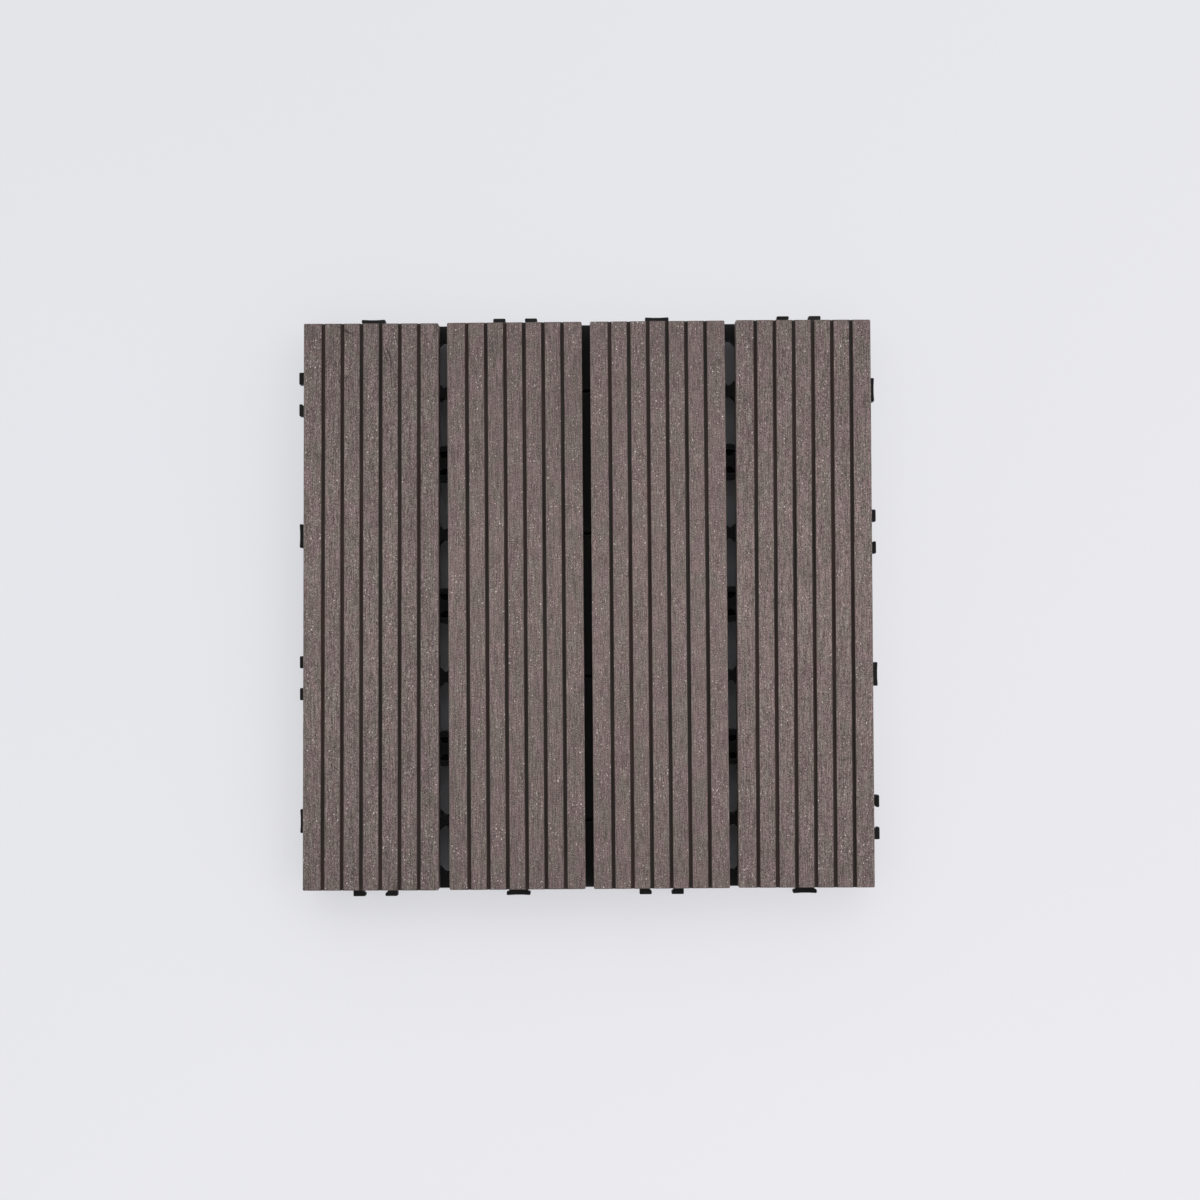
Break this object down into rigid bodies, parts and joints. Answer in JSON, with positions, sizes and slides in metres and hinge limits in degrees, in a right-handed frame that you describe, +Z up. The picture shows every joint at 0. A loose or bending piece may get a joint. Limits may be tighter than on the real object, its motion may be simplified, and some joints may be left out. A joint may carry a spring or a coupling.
{
  "type": "interlocking deck tile",
  "caption": "Square deck tile: grooved composite boards screwed to a moulded lattice grid with T keys and claws that lock to the next tile.",
  "frame": {"origin": "middle of the tile at the ground, under the ring feet", "axes": "+Z up out of the boards, +Y along the boards and their grooves, +X across them"},
  "size_m": [0.3088, 0.3088, 0.022],
  "materials": {
    "board": "matt, brushed composite",
    "grid": "black moulded polypropylene",
    "screw": "zinc plated"
  },
  "bodies": {
    "root": {"base_grid": "grid", "board_left_outer": "board", "board_left_inner": "board", "board_right_inner": "board", "board_right_outer": "board", "fixing_screws": "screw"}
  },
  "joints": []
}
